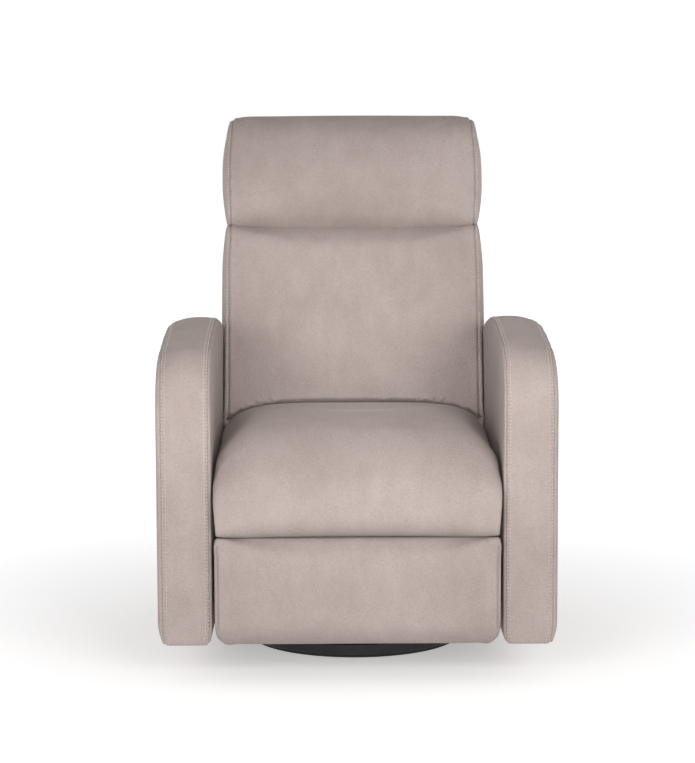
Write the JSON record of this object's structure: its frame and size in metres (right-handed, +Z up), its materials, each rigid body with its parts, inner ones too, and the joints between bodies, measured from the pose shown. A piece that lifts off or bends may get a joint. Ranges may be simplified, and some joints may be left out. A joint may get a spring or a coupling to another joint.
{
  "type": "swivel glider recliner chair",
  "caption": "Upholstered nursery armchair that swivels and glides on a round base, with a reclining back, a pull-out footrest and a recessed release handle in one arm.",
  "frame": {"origin": "on the floor, on the swivel axis, under the middle of the chair", "axes": "+Z up; the chair faces -Y; +X is to the right as the chair is seen from the front"},
  "size_m": [0.753, 0.8653, 1.0589],
  "materials": {
    "upholstery": "taupe brushed microsuede, matt",
    "timber": "unfinished plywood and softwood",
    "webbing": "woven elastic webbing",
    "floor_strip": "black rubber",
    "black_plastic": "moulded black plastic, fine grain",
    "brass": "pressed brass and steel balls",
    "black_enamel": "black powder coat",
    "zinc_steel": "zinc plated"
  },
  "bodies": {
    "base": {"base_ring": "black_enamel", "base_floor_strip": "floor_strip", "base_spider": "black_enamel", "bearing_lower_race": "zinc_steel", "kingpin": "zinc_steel"},
    "cage": {"bearing_ball_cage": "brass"},
    "turntable": {"bearing_upper_race": "zinc_steel", "turntable_frame": "black_enamel", "hanger_left": "black_enamel", "hanger_right": "black_enamel", "glide_axle_front": "zinc_steel", "glide_axle_rear": "zinc_steel"},
    "front_links": {"glide_link_front_left": "zinc_steel", "glide_link_front_right": "zinc_steel"},
    "rear_links": {"glide_link_rear_left": "zinc_steel", "glide_link_rear_right": "zinc_steel"},
    "carriage": {"mechanism_plate_left": "black_enamel", "mechanism_plate_right": "black_enamel", "cross_tube_front": "black_enamel", "cross_tube_rear": "black_enamel", "rear_rail": "timber", "rear_panel": "upholstery", "arm_cover_left": "upholstery", "arm_cover_right": "upholstery", "arm_frame_left": "timber", "arm_frame_right": "timber", "arm_glide_left": "black_plastic", "arm_glide_right": "black_plastic", "release_cup": "black_plastic", "release_cable": "black_plastic"},
    "release_handle": {"release_paddle": "black_plastic"},
    "seat": {"seat_frame": "timber", "seat_spring_1": "zinc_steel", "seat_spring_2": "zinc_steel", "seat_spring_3": "zinc_steel", "seat_rail_left": "zinc_steel", "seat_rail_right": "zinc_steel", "seat_cushion": "upholstery"},
    "backrest": {"back_frame": "timber", "back_web_1": "webbing", "back_web_2": "webbing", "back_bracket_left": "zinc_steel", "back_bracket_right": "zinc_steel", "back_shell": "upholstery", "back_cushion": "upholstery", "headrest_cushion": "upholstery"},
    "footrest_drive": {"tong_drive_link_left": "zinc_steel", "tong_drive_link_right": "zinc_steel"},
    "footrest_guide": {"tong_guide_link_left": "zinc_steel", "tong_guide_link_right": "zinc_steel"},
    "footrest_lift": {"tong_lift_link_left": "zinc_steel", "tong_lift_link_right": "zinc_steel"},
    "footrest_reach": {"tong_reach_link_left": "zinc_steel", "tong_reach_link_right": "zinc_steel"},
    "footrest_stay": {"tong_stay_link_left": "zinc_steel", "tong_stay_link_right": "zinc_steel"},
    "footrest": {"footrest_bracket_left": "zinc_steel", "footrest_bracket_right": "zinc_steel", "footrest_board": "timber", "footrest_pad": "upholstery"}
  },
  "joints": [
    {"name": "swivel", "type": "hinge", "parent": "base", "child": "turntable", "pos_m": [0, 0, 0.04], "axis": [0, 0, 1], "continuous": true},
    {"name": "cage_roll", "type": "hinge", "parent": "base", "child": "cage", "pos_m": [0, 0, 0.04], "axis": [0, 0, 1], "continuous": true},
    {"name": "glide", "type": "hinge", "parent": "turntable", "child": "front_links", "pos_m": [0, -0.12, 0.199], "axis": [1, 0, 0], "range_deg": [-18, 18]},
    {"name": "rear_link_swing", "type": "hinge", "parent": "turntable", "child": "rear_links", "pos_m": [0, 0.12, 0.199], "axis": [1, 0, 0], "range_deg": [-18, 18]},
    {"name": "carriage_level", "type": "hinge", "parent": "front_links", "child": "carriage", "pos_m": [0, -0.12, 0.104], "axis": [1, 0, 0], "range_deg": [-18, 18]},
    {"name": "seat_slide", "type": "slide", "parent": "carriage", "child": "seat", "axis": [0, -0.9848, 0.1736], "range_m": [0, 0.045]},
    {"name": "recline", "type": "hinge", "parent": "seat", "child": "backrest", "pos_m": [0, 0.19, 0.345], "axis": [-1, 0, 0], "range_deg": [0, 45]},
    {"name": "footrest_opening", "type": "hinge", "parent": "carriage", "child": "footrest_drive", "pos_m": [0, -0.29, 0.232], "axis": [-1, 0, 0], "range_deg": [0, 76]},
    {"name": "tong_cross_rear", "type": "hinge", "parent": "footrest_drive", "child": "footrest_guide", "pos_m": [0, -0.31255, 0.16047], "axis": [1, 0, 0], "range_deg": [0, 152]},
    {"name": "tong_lower_front", "type": "hinge", "parent": "footrest_drive", "child": "footrest_lift", "pos_m": [0, -0.33511, 0.08894], "axis": [1, 0, 0], "range_deg": [0, 152]},
    {"name": "tong_upper_front", "type": "hinge", "parent": "footrest_guide", "child": "footrest_reach", "pos_m": [0, -0.30536, 0.23513], "axis": [-1, 0, 0], "range_deg": [0, 152]},
    {"name": "tong_end_lower", "type": "hinge", "parent": "footrest_reach", "child": "footrest_stay", "pos_m": [0, -0.35047, 0.09207], "axis": [1, 0, 0], "range_deg": [0, 152]},
    {"name": "footrest_tilt", "type": "hinge", "parent": "footrest_lift", "child": "footrest", "pos_m": [0, -0.32073, 0.23825], "axis": [-1, 0, 0], "range_deg": [0, 152]},
    {"name": "handle_pull", "type": "hinge", "parent": "carriage", "child": "release_handle", "pos_m": [-0.367, -0.189, 0.418], "axis": [0, 0, 1], "range_deg": [0, 35], "stiffness_Nm_per_rad": 0.8, "springref_deg": -11.46}
  ],
  "couplings": [
    {"joint": "cage_roll", "follows": "swivel", "ratio": 0.5},
    {"joint": "rear_link_swing", "follows": "glide", "ratio": 1},
    {"joint": "carriage_level", "follows": "glide", "ratio": -1},
    {"joint": "seat_slide", "follows": "recline", "m_per_rad": 0.05729},
    {"joint": "tong_cross_rear", "follows": "footrest_opening", "ratio": 2},
    {"joint": "tong_lower_front", "follows": "footrest_opening", "ratio": 2},
    {"joint": "tong_upper_front", "follows": "footrest_opening", "ratio": 2},
    {"joint": "tong_end_lower", "follows": "footrest_opening", "ratio": 2},
    {"joint": "footrest_tilt", "follows": "footrest_opening", "ratio": 2}
  ]
}
